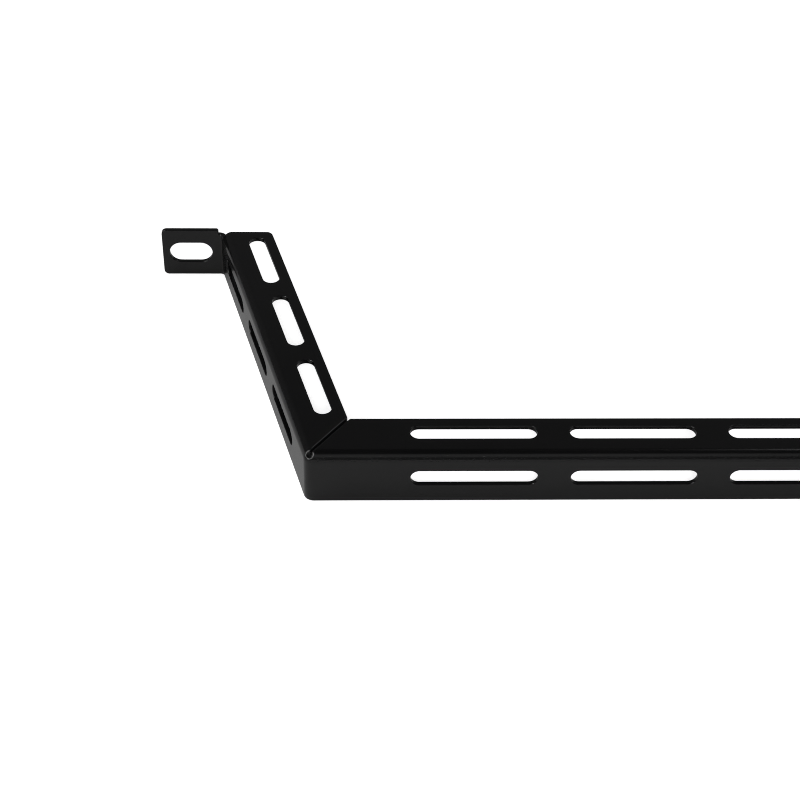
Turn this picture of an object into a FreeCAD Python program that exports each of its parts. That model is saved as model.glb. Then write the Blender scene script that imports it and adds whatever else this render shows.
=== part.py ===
"""Rack L-rail: a cable lacing bar folded from one steel sheet.

The bar lies along X at the front, an arm runs back from each of its ends, and each arm ends in an
ear that is bolted to a rack post. The upright web is one strip that is bent round the corners. The
flange is folded inwards along its top, in one length on the bar and one on each arm, which meet at
an open mitre with a round relief hole in the corner. The origin is half way between the two ear
slots, on the back of the ears, with +X along the bar, +Y from the bar to the ears and +Z up.
"""

import FreeCAD
import Part
import math
import os
import Sketcher
from FreeCAD import Placement, Rotation, Vector

NODE = "lacing_rail"

# Driving dimensions in millimetres and degrees, each with its meaning
SIZES = (
    ("overall_width", 482.6, "from ear tip to ear tip"),
    ("ear_width", 17.5, "from an ear's bend to its tip"),
    ("ear_slot_inset", 8.75, "from the ear's tip to the middle of its slot"),
    ("stand_off", 101.6, "from the bar's front face to the ears' front face"),
    ("splay", 15.0, "angle of an arm out of the square to the bar"),
    ("sheet", 1.5, "thickness of the sheet"),
    ("bend_radius", 1.3, "inside radius of every bend"),
    ("web_height", 16.6, "from the web's lower edge to the flange's top"),
    ("flange_width", 14.8, "from the web's outer face to the flange's free edge"),
    ("mitre_gap", 0.7, "open seam between two lengths of flange"),
    ("mitre_corner", 0.6, "radius of the flange's inner corners at the open seam"),
    ("relief_diameter", 2.5, "hole where the corner's bends meet"),
    ("flange_end_gap", 0.4, "from the arm's flange to the plane of the ear's front face"),
    ("flange_corner", 2.0, "radius at the free end of the arm's flange"),
    ("slot_width", 5.0, "width of every lacing slot"),
    ("flange_slot_inset", 9.3, "from the web's outer face to the middle of a flange slot"),
    ("bar_slot_length", 34.2, "end to end"),
    ("bar_slot_pitch", 43.0, "from slot to slot"),
    ("bar_slot_land", 8.0, "least sheet between the last bar slot and the open seam"),
    ("arm_slot_length", 23.4, "end to end"),
    ("arm_slot_pitch", 30.3, "from slot to slot"),
    ("arm_slot_start", 26.7, "from the sharp outer corner to the middle of the first arm slot"),
    ("arm_slot_land", 1.0, "least sheet between the last arm slot and the flange's end"),
    ("ear_slot_length", 13.2, "end to end"),
    ("ear_slot_width", 7.2, "clear for a rack screw"),
    ("ear_bend_drop", 1.5, "from the flange's top to the top edge of the ear's bend"),
    ("ear_corner", 1.5, "radius of the ear's outer corners"),
    ("ear_step_corner", 0.6, "radius where the ear's top steps down to its bend"),
)


def flange_run(inset):
    """Formula for the arm's length from its sharp corner to the flange's end, at an inset from the web."""
    return f"(({BAR_DEPTH} - {FLANGE_END_DEPTH} - {inset} * sin(sizes.splay)) / cos(sizes.splay))"


# Formulas that several sketches share
OUTER_BEND = "(sizes.bend_radius + sizes.sheet)"
HALF_TURN = "(45 - sizes.splay / 2)"
TOP = "(sizes.web_height / 2)"
BAR_DEPTH = "(sizes.stand_off + sizes.sheet)"
EAR_RUN = f"(sizes.bend_radius * tan({HALF_TURN}))"
EAR_START_X = "(sizes.overall_width / 2 - sizes.ear_width)"
EAR_CORNER_X = f"({EAR_START_X} - {EAR_RUN})"
CORNER_X = f"({EAR_CORNER_X} - sizes.stand_off * tan(sizes.splay))"
CORNER_RUN = f"({OUTER_BEND} * tan({HALF_TURN}))"
CORNER_AXIS_X = f"({CORNER_X} - {CORNER_RUN})"
CORNER_AXIS_DEPTH = f"({BAR_DEPTH} - {OUTER_BEND})"
ARM_STRAIGHT = f"(sizes.stand_off / cos(sizes.splay) - {CORNER_RUN} - {EAR_RUN})"
FLANGE_END_DEPTH = "(sizes.sheet + sizes.flange_end_gap)"
CUT_DEPTH = "(2 * sizes.sheet)"
MITRE_RUN = f"(sizes.flange_width * tan({HALF_TURN}))"
BAR_ROOM = f"({CORNER_X} - {MITRE_RUN} - sizes.bar_slot_land + sizes.bar_slot_pitch / 2)"
BAR_SLOTS = f"floor(({BAR_ROOM} - sizes.bar_slot_length / 2) / sizes.bar_slot_pitch)"
SLOT_REACH = "(sizes.flange_slot_inset + sizes.slot_width / 2)"
ARM_ROOM = f"({flange_run(SLOT_REACH)} - sizes.arm_slot_land - sizes.arm_slot_start + sizes.arm_slot_pitch)"
ARM_SLOTS = f"floor(({ARM_ROOM} - sizes.arm_slot_length / 2) / sizes.arm_slot_pitch)"

UP = Vector(0, 0, 1)
NEAR = 1e-4


def axis(letter):
    """The number of a sketch's own axis: a sketch counts them from -1 downwards, x first."""
    return -1 - "xy".index(letter)


# A sketch's origin is the first end of its x axis
ORIGIN_POINT = (axis("x"), 1)


def fill_sheet(doc):
    """The driving dimensions, one row each: meaning and value, with the name as the value's alias."""
    sheet = doc.addObject("Spreadsheet::Sheet", "sizes")
    for row, (alias, value, meaning) in enumerate(SIZES, start=1):
        sheet.set(f"A{row}", meaning)
        sheet.set(f"B{row}", str(value))
        sheet.setAlias(f"B{row}", alias)
    doc.recompute()
    return sheet


def amount(feature, formula):
    """The present value of a formula, as a plain number."""
    return float(feature.evalExpression(formula))


def origin_plane(body, role):
    return next(plane for plane in body.Origin.OriginFeatures if plane.Role == role)


def sketch_on(body, name, support, shift, about=UP, turn="0"):
    """A sketch on a plane, moved by three formulas in that plane's own axes and turned about a direction."""
    sketch = body.newObject("Sketcher::SketchObject", name)
    sketch.AttachmentSupport = [(support, "")]
    sketch.MapMode = "FlatFace"
    base = Vector(*(amount(sketch, formula) for formula in shift))
    sketch.AttachmentOffset = Placement(base, Rotation(about, amount(sketch, turn)))
    for letter, formula in zip("xyz", shift):
        sketch.setExpression(f"AttachmentOffset.Base.{letter}", formula)
    if turn != "0":
        sketch.setExpression("AttachmentOffset.Rotation.Angle", f"({turn}) * 1deg")
    return sketch


def drive(sketch, name, formula, kind, *elements, unit="mm"):
    """A dimension of a sketch, bound to a formula."""
    value = amount(sketch, formula)
    start = math.radians(value) if unit == "deg" else value
    index = sketch.addConstraint(Sketcher.Constraint(kind, *elements, start))
    sketch.renameConstraint(index, name)
    sketch.setExpression(f"Constraints.{name}", f"({formula}) * 1{unit}")


def add_line(sketch, start, end):
    return sketch.addGeometry(Part.LineSegment(Vector(*start, 0), Vector(*end, 0)))


def add_arc(sketch, middle, radius, first, last):
    """An arc that runs anticlockwise between two angles in degrees."""
    circle = Part.Circle(Vector(*middle, 0), UP, radius)
    return sketch.addGeometry(Part.ArcOfCircle(circle, math.radians(first), math.radians(last)))


def join(sketch, kind, *pairs):
    """Joins of one kind between line or arc ends, each given as (element, end, element, end)."""
    for pair in pairs:
        sketch.addConstraint(Sketcher.Constraint(kind, *pair))


def level(sketch, kind, *lines):
    for line in lines:
        sketch.addConstraint(Sketcher.Constraint(kind, line))


def on_line(sketch, *triples):
    """Points held on a line or axis, each given as (element, end, line)."""
    for triple in triples:
        sketch.addConstraint(Sketcher.Constraint("PointOnObject", *triple))


def pad(body, name, sketch, length, reverse=False):
    feature = body.newObject("PartDesign::Pad", name)
    feature.Profile = sketch
    feature.Reversed = reverse
    feature.setExpression("Length", f"({length}) * 1mm")
    body.Document.recompute()
    return feature


def pocket(body, name, sketch, depth):
    """A cut that goes from the sketch against its normal, and has to take something away."""
    before = body.Shape.Volume
    feature = body.newObject("PartDesign::Pocket", name)
    feature.Profile = sketch
    feature.setExpression("Length", f"({depth}) * 1mm")
    body.Document.recompute()
    if not feature.Shape.Volume < before - NEAR:
        raise RuntimeError(f"{name} cuts nothing")
    return feature


def row(body, name, cut, sketch, count, pitch, reverse=False):
    """Copies of a cut along its sketch's own X axis."""
    feature = body.newObject("PartDesign::LinearPattern", name)
    feature.Originals = [cut]
    feature.Direction = (sketch, ["H_Axis"])
    feature.Reversed = reverse
    feature.setExpression("Occurrences", count)
    feature.setExpression("Length", f"({pitch}) * ({count} - 1) * 1mm")
    body.Tip = feature
    body.Document.recompute()
    return feature


def round_edges(body, name, radius, places, along):
    """Rounds the edges that run along a direction through the given places."""
    base = body.Tip
    names = []
    for number, edge in enumerate(base.Shape.Edges, start=1):
        start, end = (vertex.Point for vertex in (edge.Vertexes[0], edge.Vertexes[-1]))
        run = end - start
        if run.Length < NEAR or run.cross(along).Length > NEAR * run.Length:
            continue
        if any((place - start).cross(along).Length < NEAR for place in places):
            names.append(f"Edge{number}")
    if len(names) != len(places):
        raise RuntimeError(f"{name} found {len(names)} edges of {len(places)}")
    feature = body.newObject("PartDesign::Fillet", name)
    feature.Base = (base, names)
    feature.setExpression("Radius", f"{radius} * 1mm")
    body.Document.recompute()
    return feature


def web_strip(body):
    """The upright web in plan, from the bar's middle round the corner and along the arm to the ear."""
    sketch = sketch_on(body, "web_plan", origin_plane(body, "XY_Plane"), ("0", "0", f"-{TOP}"))
    inner = amount(sketch, "sizes.bend_radius")
    outer = amount(sketch, OUTER_BEND)
    thick = amount(sketch, "sizes.sheet")
    splay = amount(sketch, "sizes.splay")
    corner = Vector(-amount(sketch, CORNER_AXIS_X), -amount(sketch, CORNER_AXIS_DEPTH), 0)
    ear = Vector(-amount(sketch, EAR_START_X), -amount(sketch, OUTER_BEND), 0)
    inward = Vector(math.cos(math.radians(splay)), math.sin(math.radians(splay)), 0)

    def plan(point):
        return (point.x, point.y)

    front = -amount(sketch, BAR_DEPTH)
    bar_out = add_line(sketch, (0, front), (corner.x, front))
    corner_out = add_arc(sketch, plan(corner), outer, 180 + splay, 270)
    arm_out = add_line(sketch, plan(corner - inward * outer), plan(ear + inward * inner))
    ear_out = add_arc(sketch, plan(ear), inner, splay, 90)
    ear_end = add_line(sketch, (ear.x, ear.y + inner), (ear.x, ear.y + outer))
    ear_in = add_arc(sketch, plan(ear), outer, splay, 90)
    arm_in = add_line(sketch, plan(ear + inward * outer), plan(corner - inward * inner))
    corner_in = add_arc(sketch, plan(corner), inner, 180 + splay, 270)
    bar_in = add_line(sketch, (corner.x, front + thick), (0, front + thick))
    middle = add_line(sketch, (0, front + thick), (0, front))
    sharp = sketch.addGeometry(Part.Point(Vector(-amount(sketch, CORNER_X), front, 0)), True)

    join(sketch, "Tangent", (bar_out, 2, corner_out, 2), (corner_out, 1, arm_out, 1))
    join(sketch, "Tangent", (arm_out, 2, ear_out, 1), (ear_in, 1, arm_in, 1))
    join(sketch, "Tangent", (arm_in, 2, corner_in, 1), (corner_in, 2, bar_in, 1))
    join(sketch, "Coincident", (ear_out, 2, ear_end, 1), (ear_end, 2, ear_in, 2))
    join(sketch, "Coincident", (bar_in, 2, middle, 1), (middle, 2, bar_out, 1))
    join(sketch, "Coincident", (corner_out, 3, corner_in, 3), (ear_out, 3, ear_in, 3))
    level(sketch, "Horizontal", bar_out, bar_in)
    level(sketch, "Vertical", ear_end, middle)
    on_line(sketch, (bar_out, 1, axis("y")), (ear_end, 2, axis("x")), (ear_out, 3, ear_end))
    on_line(sketch, (sharp, 1, bar_out), (sharp, 1, arm_out))
    drive(sketch, "bar_depth", BAR_DEPTH, "DistanceY", bar_out, 1, *ORIGIN_POINT)
    drive(sketch, "corner_place", CORNER_X, "DistanceX", sharp, 1, *ORIGIN_POINT)
    drive(sketch, "arm_angle", "90 + sizes.splay", "Angle", arm_out, unit="deg")
    drive(sketch, "corner_outside", OUTER_BEND, "Radius", corner_out)
    drive(sketch, "corner_inside", "sizes.bend_radius", "Radius", corner_in)
    drive(sketch, "ear_inside", "sizes.bend_radius", "Radius", ear_out)
    drive(sketch, "ear_outside", OUTER_BEND, "Radius", ear_in)
    return pad(body, "web", sketch, f"sizes.web_height - {OUTER_BEND}")


def fold_section(sketch):
    """The fold and the flange in section: X inwards from the web's outer face, Y up."""
    inner = amount(sketch, "sizes.bend_radius")
    outer = amount(sketch, OUTER_BEND)
    thick = amount(sketch, "sizes.sheet")
    width = amount(sketch, "sizes.flange_width")
    top = amount(sketch, TOP)
    middle = (outer, top - outer)
    fold_out = add_arc(sketch, middle, outer, 90, 180)
    flange_top = add_line(sketch, (outer, top), (width, top))
    free_edge = add_line(sketch, (width, top), (width, top - thick))
    flange_under = add_line(sketch, (width, top - thick), (outer, top - thick))
    fold_in = add_arc(sketch, middle, inner, 90, 180)
    fold_foot = add_line(sketch, (thick, top - outer), (0, top - outer))
    join(sketch, "Tangent", (fold_out, 1, flange_top, 1), (flange_under, 2, fold_in, 1))
    join(sketch, "Coincident", (flange_top, 2, free_edge, 1), (free_edge, 2, flange_under, 1))
    join(sketch, "Coincident", (fold_in, 2, fold_foot, 1), (fold_foot, 2, fold_out, 2))
    join(sketch, "Coincident", (fold_out, 3, fold_in, 3))
    level(sketch, "Horizontal", flange_top, flange_under, fold_foot)
    level(sketch, "Vertical", free_edge)
    on_line(sketch, (fold_out, 3, fold_foot), (fold_out, 2, axis("y")))
    drive(sketch, "fold_outside", OUTER_BEND, "Radius", fold_out)
    drive(sketch, "fold_inside", "sizes.bend_radius", "Radius", fold_in)
    drive(sketch, "width", "sizes.flange_width", "DistanceX", *ORIGIN_POINT, free_edge, 1)
    drive(sketch, "top", TOP, "DistanceY", *ORIGIN_POINT, free_edge, 1)


def bar_flange(body):
    """The flange along the bar, from its middle to where the corner bend starts."""
    shift = (f"-{BAR_DEPTH}", "0", "0")
    sketch = sketch_on(body, "bar_section", origin_plane(body, "YZ_Plane"), shift)
    fold_section(sketch)
    return pad(body, "bar_fold", sketch, CORNER_AXIS_X, reverse=True)


def on_arm(feature, run, inset):
    """A place on the arm in plan, by its run from the sharp corner and its inset from the web's outer face."""
    splay = math.radians(amount(feature, "sizes.splay"))
    x = inset * math.cos(splay) - run * math.sin(splay) - amount(feature, CORNER_X)
    y = inset * math.sin(splay) + run * math.cos(splay) - amount(feature, BAR_DEPTH)
    return Vector(x, y, 0)


def arm_flange(body):
    """The flange along the arm, from the corner bend to the ear's bend, cut off parallel to the ear."""
    start_x = f"({CORNER_X} + {CORNER_RUN} * sin(sizes.splay))"
    start_depth = f"({BAR_DEPTH} - {CORNER_RUN} * cos(sizes.splay))"
    shift = (f"-{start_x}", "0", start_depth)
    side = Vector(0, 1, 0)
    sketch = sketch_on(body, "arm_section", origin_plane(body, "XZ_Plane"), shift, side, "sizes.splay")
    fold_section(sketch)
    pad(body, "arm_fold", sketch, ARM_STRAIGHT, reverse=True)

    shift = (f"-{EAR_CORNER_X}", f"-{FLANGE_END_DEPTH}", TOP)
    sketch = sketch_on(body, "flange_end_plan", origin_plane(body, "XY_Plane"), shift)
    margin = f"2 * {OUTER_BEND}"
    reach = f"2 * sizes.flange_width + {margin}"
    rectangle(sketch, (margin, reach), ("0", f"sizes.flange_width + {margin}"))
    return pocket(body, "flange_end", sketch, OUTER_BEND)


def rectangle(sketch, across, along):
    """A rectangle by how far it goes left, right, down and up from the sketch's origin."""
    left, right = (amount(sketch, formula) for formula in across)
    down, up = (amount(sketch, formula) for formula in along)
    corners = ((-left, -down), (right, -down), (right, up), (-left, up))
    sides = [add_line(sketch, corners[i], corners[(i + 1) % 4]) for i in range(4)]
    for i in range(4):
        join(sketch, "Coincident", (sides[i], 2, sides[(i + 1) % 4], 1))
    level(sketch, "Horizontal", sides[0], sides[2])
    level(sketch, "Vertical", sides[1], sides[3])
    drive(sketch, "left", across[0], "DistanceX", sides[0], 1, *ORIGIN_POINT)
    drive(sketch, "right", across[1], "DistanceX", *ORIGIN_POINT, sides[0], 2)
    drive(sketch, "up", along[1], "DistanceY", *ORIGIN_POINT, sides[2], 1)
    if along[0] == "0":
        on_line(sketch, (sides[0], 1, axis("x")))
    else:
        drive(sketch, "down", along[0], "DistanceY", sides[0], 1, *ORIGIN_POINT)


def mitred_corner(body):
    """The corner where the web's bend and the two folds run together, with its hole and open seam."""
    shift = (f"-{CORNER_AXIS_DEPTH}", f"{TOP} - {OUTER_BEND}", f"-{CORNER_AXIS_X}")
    sketch = sketch_on(body, "corner_section", origin_plane(body, "YZ_Plane"), shift)
    inner = amount(sketch, "sizes.bend_radius")
    outer = amount(sketch, OUTER_BEND)
    skin_out = add_arc(sketch, (0, 0), outer, 90, 180)
    on_axis = add_line(sketch, (0, outer), (0, inner))
    skin_in = add_arc(sketch, (0, 0), inner, 90, 180)
    foot = add_line(sketch, (-inner, 0), (-outer, 0))
    join(sketch, "Coincident", (skin_out, 1, on_axis, 1), (on_axis, 2, skin_in, 1))
    join(sketch, "Coincident", (skin_in, 2, foot, 1), (foot, 2, skin_out, 2))
    join(sketch, "Coincident", (skin_out, 3, *ORIGIN_POINT), (skin_in, 3, *ORIGIN_POINT))
    on_line(sketch, (on_axis, 1, axis("y")), (foot, 2, axis("x")))
    level(sketch, "Vertical", on_axis)
    level(sketch, "Horizontal", foot)
    drive(sketch, "outside", OUTER_BEND, "Radius", skin_out)
    drive(sketch, "inside", "sizes.bend_radius", "Radius", skin_in)
    corner = body.newObject("PartDesign::Revolution", "corner_bend")
    corner.Profile = sketch
    corner.ReferenceAxis = (sketch, ["V_Axis"])
    corner.Reversed = True
    corner.setExpression("Angle", "(90 - sizes.splay) * 1deg")
    body.Document.recompute()

    facing = body.newObject("PartDesign::Plane", "corner_facing")
    facing.AttachmentSupport = [(origin_plane(body, "XZ_Plane"), "")]
    facing.MapMode = "FlatFace"
    base = Vector(-amount(facing, CORNER_AXIS_X), amount(facing, f"{TOP} - {OUTER_BEND}"), 0)
    base.z = amount(facing, CORNER_AXIS_DEPTH)
    turn = f"-{HALF_TURN}"
    facing.AttachmentOffset = Placement(base, Rotation(Vector(0, 1, 0), amount(facing, turn)))
    facing.setExpression("AttachmentOffset.Base.x", f"-{CORNER_AXIS_X}")
    facing.setExpression("AttachmentOffset.Base.y", f"{TOP} - {OUTER_BEND}")
    facing.setExpression("AttachmentOffset.Base.z", CORNER_AXIS_DEPTH)
    facing.setExpression("AttachmentOffset.Rotation.Angle", f"({turn}) * 1deg")
    body.Document.recompute()

    lift = f"{OUTER_BEND} * cos(45)"
    sketch = sketch_on(body, "relief_plan", facing, ("0", lift, lift), Vector(1, 0, 0), "-45")
    circle = sketch.addGeometry(Part.Circle(Vector(), UP, amount(sketch, "sizes.relief_diameter / 2")))
    join(sketch, "Coincident", (circle, 3, *ORIGIN_POINT))
    drive(sketch, "diameter", "sizes.relief_diameter", "Diameter", circle)
    pocket(body, "relief_hole", sketch, OUTER_BEND)

    shift = (f"-{CORNER_AXIS_X}", f"-{CORNER_AXIS_DEPTH}", TOP)
    turn = "45 + sizes.splay / 2"
    sketch = sketch_on(body, "mitre_plan", origin_plane(body, "XY_Plane"), shift, UP, turn)
    half = "sizes.mitre_gap / 2"
    into_hole = "sizes.relief_diameter / 2"
    across_flange = f"sizes.flange_width / cos({HALF_TURN})"
    rectangle(sketch, (into_hole, across_flange), (half, half))
    seam = pocket(body, "mitre_seam", sketch, OUTER_BEND)

    run = amount(seam, f"{MITRE_RUN} + sizes.mitre_gap / 2 / cos({HALF_TURN})")
    width = amount(seam, "sizes.flange_width")
    bar_tip = Vector(run - amount(seam, CORNER_X), width - amount(seam, BAR_DEPTH), 0)
    tips = [bar_tip, on_arm(seam, run, width)]
    round_edges(body, "mitre_corners", "sizes.mitre_corner", tips, UP)


def ear(body):
    """The bend at the arm's end above the fold's height, and the ear with its rounded corners."""
    shift = (f"-{EAR_START_X}", f"-{OUTER_BEND}", f"{TOP} - {OUTER_BEND}")
    sketch = sketch_on(body, "ear_bend_plan", origin_plane(body, "XY_Plane"), shift)
    inner = amount(sketch, "sizes.bend_radius")
    outer = amount(sketch, OUTER_BEND)
    splay = amount(sketch, "sizes.splay")
    aim = Vector(math.cos(math.radians(splay)), math.sin(math.radians(splay)), 0)
    front = add_arc(sketch, (0, 0), inner, splay, 90)
    ear_side = add_line(sketch, (0, inner), (0, outer))
    back = add_arc(sketch, (0, 0), outer, splay, 90)
    arm_side = add_line(sketch, (aim.x * outer, aim.y * outer), (aim.x * inner, aim.y * inner))
    join(sketch, "Coincident", (front, 2, ear_side, 1), (ear_side, 2, back, 2))
    join(sketch, "Coincident", (back, 1, arm_side, 1), (arm_side, 2, front, 1))
    join(sketch, "Coincident", (front, 3, *ORIGIN_POINT), (back, 3, *ORIGIN_POINT))
    on_line(sketch, (ear_side, 1, axis("y")), (*ORIGIN_POINT, arm_side))
    level(sketch, "Vertical", ear_side)
    drive(sketch, "inside", "sizes.bend_radius", "Radius", front)
    drive(sketch, "outside", OUTER_BEND, "Radius", back)
    drive(sketch, "arm_angle", "180 + sizes.splay", "Angle", arm_side, unit="deg")
    pad(body, "ear_bend", sketch, f"{OUTER_BEND} - sizes.ear_bend_drop")

    shift = (f"-{EAR_START_X}", "0", "sizes.sheet")
    sketch = sketch_on(body, "ear_outline", origin_plane(body, "XZ_Plane"), shift)
    rectangle(sketch, ("sizes.ear_width", "0"), (TOP, TOP))
    plate = pad(body, "ear_plate", sketch, "sizes.sheet", reverse=True)
    low = -amount(plate, TOP)
    high = amount(plate, TOP)
    tip = -amount(plate, "sizes.overall_width / 2")
    step = -amount(plate, EAR_START_X)
    back_to_front = Vector(0, 1, 0)
    tips = [Vector(tip, 0, low), Vector(tip, 0, high)]
    round_edges(body, "ear_corners", "sizes.ear_corner", tips, back_to_front)
    round_edges(body, "ear_step", "sizes.ear_step_corner", [Vector(step, 0, high)], back_to_front)


def flange_corner(body):
    """The rounded inner corner at the free end of the arm's flange."""
    run = amount(body.Tip, flange_run("sizes.flange_width"))
    place = on_arm(body.Tip, run, amount(body.Tip, "sizes.flange_width"))
    round_edges(body, "flange_end_corner", "sizes.flange_corner", [place], UP)


def slot_outline(sketch, length, width):
    """A slot with round ends along the sketch's X axis, with its middle at the sketch's origin."""
    radius = amount(sketch, width) / 2
    half = amount(sketch, length) / 2 - radius
    right = add_arc(sketch, (half, 0), radius, -90, 90)
    upper = add_line(sketch, (half, radius), (-half, radius))
    left = add_arc(sketch, (-half, 0), radius, 90, 270)
    lower = add_line(sketch, (-half, -radius), (half, -radius))
    join(sketch, "Tangent", (right, 2, upper, 1), (upper, 2, left, 1))
    join(sketch, "Tangent", (left, 2, lower, 1), (lower, 2, right, 1))
    level(sketch, "Horizontal", upper)
    on_line(sketch, (right, 3, axis("x")))
    sketch.addConstraint(Sketcher.Constraint("Symmetric", left, 3, right, 3, *ORIGIN_POINT))
    drive(sketch, "end_radius", f"{width} / 2", "Radius", right)
    drive(sketch, "between_ends", f"{length} - {width}", "DistanceX", left, 3, right, 3)


def bar_slots(body):
    """A row of lacing slots in the bar's flange, and one in its web straight in front of it."""
    first = "-sizes.bar_slot_pitch / 2"
    places = (
        ("bar_flange_slot", "XY_Plane", (first, f"sizes.flange_slot_inset - {BAR_DEPTH}", TOP)),
        ("bar_web_slot", "XZ_Plane", (first, "0", BAR_DEPTH)),
    )
    for name, role, shift in places:
        sketch = sketch_on(body, f"{name}_plan", origin_plane(body, role), shift)
        slot_outline(sketch, "sizes.bar_slot_length", "sizes.slot_width")
        cut = pocket(body, name, sketch, CUT_DEPTH)
        row(body, f"{name}s", cut, sketch, BAR_SLOTS, "sizes.bar_slot_pitch", True)


def arm_slots(body):
    """A row of lacing slots in the arm's flange, and one in its web beside it."""
    along = "sizes.arm_slot_start"
    inset = "sizes.flange_slot_inset"
    face_x = f"-({CORNER_X} + {along} * sin(sizes.splay))"
    face_y = f"({along} * cos(sizes.splay) - {BAR_DEPTH})"
    flange_x = f"{face_x} + {inset} * cos(sizes.splay)"
    flange_y = f"{face_y} + {inset} * sin(sizes.splay)"
    side = Vector(0, 1, 0)
    places = (
        ("arm_flange_slot", "XY_Plane", (flange_x, flange_y, TOP), UP, "90 + sizes.splay", False),
        ("arm_web_slot", "XZ_Plane", (face_x, "0", f"-{face_y}"), side, "sizes.splay - 90", True),
    )
    for name, role, shift, about, turn, reverse in places:
        sketch = sketch_on(body, f"{name}_plan", origin_plane(body, role), shift, about, turn)
        slot_outline(sketch, "sizes.arm_slot_length", "sizes.slot_width")
        cut = pocket(body, name, sketch, CUT_DEPTH)
        row(body, f"{name}s", cut, sketch, ARM_SLOTS, "sizes.arm_slot_pitch", reverse)


def ear_slot(body):
    """The slot for the rack screw, level with the web's slots."""
    shift = ("sizes.ear_slot_inset - sizes.overall_width / 2", "0", "sizes.sheet")
    sketch = sketch_on(body, "ear_slot_plan", origin_plane(body, "XZ_Plane"), shift)
    slot_outline(sketch, "sizes.ear_slot_length", "sizes.ear_slot_width")
    return pocket(body, "ear_slot", sketch, CUT_DEPTH)


def other_half(body):
    """The right half, as a mirror image of the left one."""
    feature = body.newObject("PartDesign::Mirrored", "right_half")
    feature.TransformMode = "Whole shape"
    feature.MirrorPlane = (origin_plane(body, "YZ_Plane"), [""])
    body.Tip = feature
    body.Document.recompute()


def check(doc, body):
    """Every object has to be sound, and the rail one valid solid, before it is written."""
    for item in doc.Objects:
        if "Invalid" in item.State or "Error" in item.State:
            raise RuntimeError(f"{item.Label} failed: {item.State}")
    if body.Shape.isNull() or not body.Shape.isValid() or len(body.Shape.Solids) != 1:
        raise RuntimeError(f"{body.Label} is not one valid solid")


def main():
    doc = FreeCAD.newDocument("rack_l_rail")
    fill_sheet(doc)
    rail = doc.addObject("PartDesign::Body", "rail")
    rail.Label = NODE
    rail.Placement = Placement()
    web_strip(rail)
    bar_flange(rail)
    arm_flange(rail)
    mitred_corner(rail)
    ear(rail)
    flange_corner(rail)
    bar_slots(rail)
    arm_slots(rail)
    ear_slot(rail)
    other_half(rail)
    doc.recompute()
    check(doc, rail)
    os.makedirs("parts", exist_ok=True)
    rail.Shape.exportStep(os.path.join("parts", f"{rail.Label}.step"))
    box = rail.Shape.BoundBox
    print(f"{rail.Label}: {box.XLength:.2f} x {box.YLength:.2f} x {box.ZLength:.2f} mm")
    print(f"volume {rail.Shape.Volume:.1f} mm3, {len(rail.Shape.Faces)} faces")


main()
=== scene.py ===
"""A rack L-rail: a lacing rail for cables, folded from one steel sheet and powder-coated satin black."""

import bmesh
import bpy
import numpy as np
from mathutils import Matrix, Vector


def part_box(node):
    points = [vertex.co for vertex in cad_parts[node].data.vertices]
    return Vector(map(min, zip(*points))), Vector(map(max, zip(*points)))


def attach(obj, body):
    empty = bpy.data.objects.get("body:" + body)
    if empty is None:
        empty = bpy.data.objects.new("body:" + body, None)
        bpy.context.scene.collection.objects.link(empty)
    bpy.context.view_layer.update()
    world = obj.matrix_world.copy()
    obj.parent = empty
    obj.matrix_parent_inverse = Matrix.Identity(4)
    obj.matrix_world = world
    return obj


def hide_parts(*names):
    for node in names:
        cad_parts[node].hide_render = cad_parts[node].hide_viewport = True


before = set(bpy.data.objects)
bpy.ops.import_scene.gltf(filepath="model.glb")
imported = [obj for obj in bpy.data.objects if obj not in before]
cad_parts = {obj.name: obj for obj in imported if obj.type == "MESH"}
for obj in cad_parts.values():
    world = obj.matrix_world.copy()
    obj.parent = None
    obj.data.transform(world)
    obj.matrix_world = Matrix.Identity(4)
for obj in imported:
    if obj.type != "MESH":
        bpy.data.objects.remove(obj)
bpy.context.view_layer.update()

# The rail is one strip of steel sheet, punched with slots, folded to an angle along its top and bent at
# two corners and two ears. Its powder coat rounds the punched edges. Half of it is worked out as a flat
# blank, which a formula folds, and the other half is its mirror image. All sizes are in millimetres.
MM = 0.001
NODE = "lacing_rail"
low, high = (np.array(corner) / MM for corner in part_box(NODE))
FRONT = low[1]
BOTTOM = low[2]
SHEET = 1.5
BEND = 1.3
OUTER = BEND + SHEET
WEB_HEIGHT = 16.6
FLANGE_WIDTH = 14.8
EAR_WIDTH = 17.5
SPLAY = np.radians(15)
TURN = np.pi / 2 - SPLAY
HALF_TURN = TURN / 2

# Distances along the web's outer skin, from the bar's middle to the ear's tip
STAND_OFF = -FRONT - SHEET
CORNER_RUN = OUTER * np.tan(HALF_TURN)
EAR_RUN = BEND * np.tan(HALF_TURN)
CORNER_X = high[0] - EAR_WIDTH - EAR_RUN - STAND_OFF * np.tan(SPLAY)
BAR_END = CORNER_X - CORNER_RUN
ARM_START = BAR_END + OUTER * TURN
ARM_CORNER = ARM_START - CORNER_RUN
ARM_END = ARM_START + STAND_OFF / np.cos(SPLAY) - CORNER_RUN - EAR_RUN
EAR_START = ARM_END + BEND * TURN
EAR_TIP = EAR_START + EAR_WIDTH
FLANGE_END_GAP = 0.4
FOLD_END = ARM_CORNER + (STAND_OFF - FLANGE_END_GAP - OUTER * np.sin(SPLAY)) / np.cos(SPLAY)

# Distances up the section, from the web's lower edge over the fold to the flange's free edge
WEB_UP = WEB_HEIGHT - OUTER
FOLD_UP = WEB_UP + OUTER * np.pi / 2
FLANGE_UP = FOLD_UP + FLANGE_WIDTH - OUTER
EAR_BEND_UP = WEB_HEIGHT - SHEET
EAR_UP = high[2] - low[2]


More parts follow.
